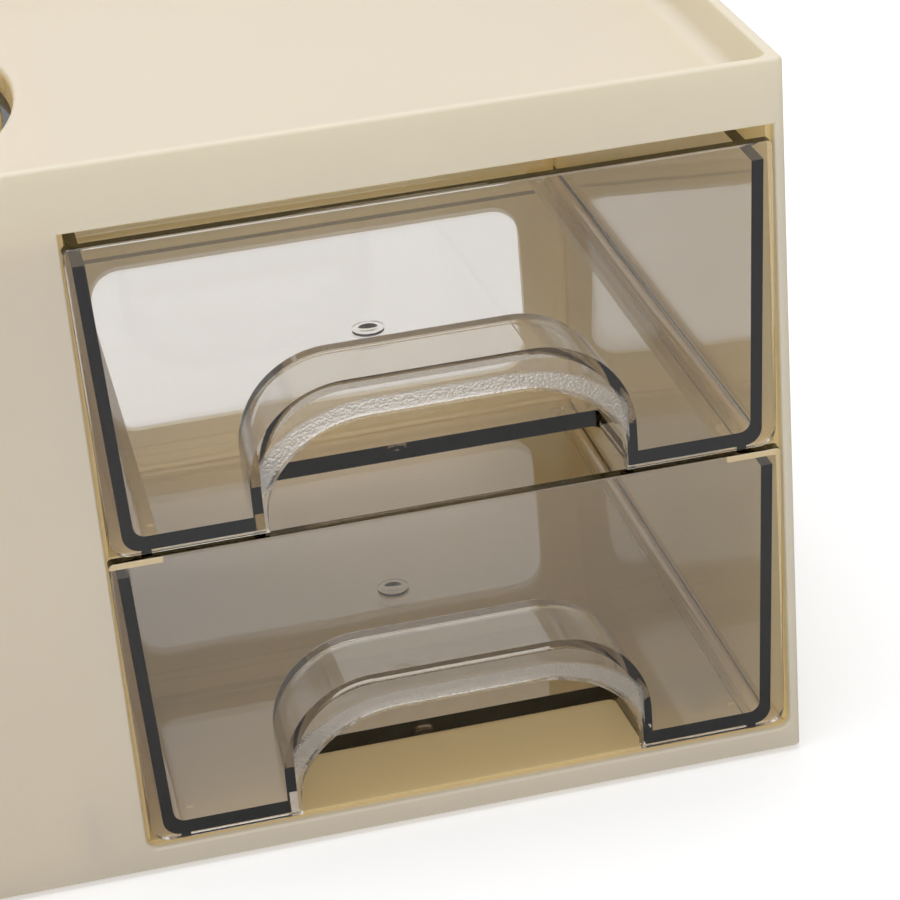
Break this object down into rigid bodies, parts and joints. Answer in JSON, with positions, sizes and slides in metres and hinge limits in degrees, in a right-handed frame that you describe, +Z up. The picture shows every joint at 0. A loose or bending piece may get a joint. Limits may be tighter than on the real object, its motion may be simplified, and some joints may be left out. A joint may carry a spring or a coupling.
{
  "type": "desk organizer with drawers",
  "caption": "Desktop organizer with a shallow top tray, see-through pull-out drawers, a turning round cup sunk in the top, and a tape well with a serrated cutter",
  "frame": {"origin": "on the table plane, at the middle of the case's footprint", "axes": "+X to the viewer's right along the front, the drawers' end; -Y out of the front, the way the drawers open; +Z up"},
  "size_m": [0.2672, 0.1334, 0.1235],
  "materials": {
    "case": "satin moulded cream plastic",
    "smoked_clear": "polished lightly smoked clear plastic",
    "white_plastic": "natural white plastic",
    "dark_plastic": "moulded dark plastic",
    "core_board": "smooth pale core",
    "tape": "wound clear film",
    "blade_steel": "stamped steel strip",
    "screws": "plated steel",
    "feet": "soft rubber pads"
  },
  "bodies": {
    "case": {"case_shell": "case", "base_frame": "case", "base_screws": "screws", "glide_ring": "white_plastic", "pivot_washer": "screws", "pivot_screw": "screws", "cutter_holder": "case", "cutter_blade": "blade_steel", "blade_rivets": "white_plastic", "foot_front_left": "feet", "foot_front_middle": "feet", "foot_front_right": "feet", "foot_rear_left": "feet", "foot_rear_middle": "feet", "foot_rear_right": "feet"},
    "upper_drawer": {"upper_drawer": "smoked_clear"},
    "lower_drawer": {"lower_drawer": "smoked_clear"},
    "pen_cup": {"pen_cup": "smoked_clear", "cup_divider": "smoked_clear"},
    "tape_axle": {"tape_axle": "white_plastic", "tape_tail": "tape"},
    "tape_spool": {"tape_hub_left": "dark_plastic", "tape_hub_right": "dark_plastic", "tape_core": "core_board", "tape_roll": "tape"}
  },
  "joints": [
    {"name": "upper_drawer_slide", "type": "slide", "parent": "case", "child": "upper_drawer", "axis": [0, -1, 0], "range_m": [0, 0.1138]},
    {"name": "lower_drawer_slide", "type": "slide", "parent": "case", "child": "lower_drawer", "axis": [0, -1, 0], "range_m": [0, 0.1138]},
    {"name": "pen_cup_turn", "type": "hinge", "parent": "case", "child": "pen_cup", "pos_m": [-0.04075, 0, 0], "axis": [0, 0, 1], "continuous": true},
    {"name": "spool_lift", "type": "slide", "parent": "case", "child": "tape_axle", "axis": [0, 0, 1], "range_m": [0, 0.08]},
    {"name": "spool_turn", "type": "hinge", "parent": "tape_axle", "child": "tape_spool", "pos_m": [-0.11865, 0, 0.077], "axis": [1, 0, 0], "continuous": true}
  ]
}
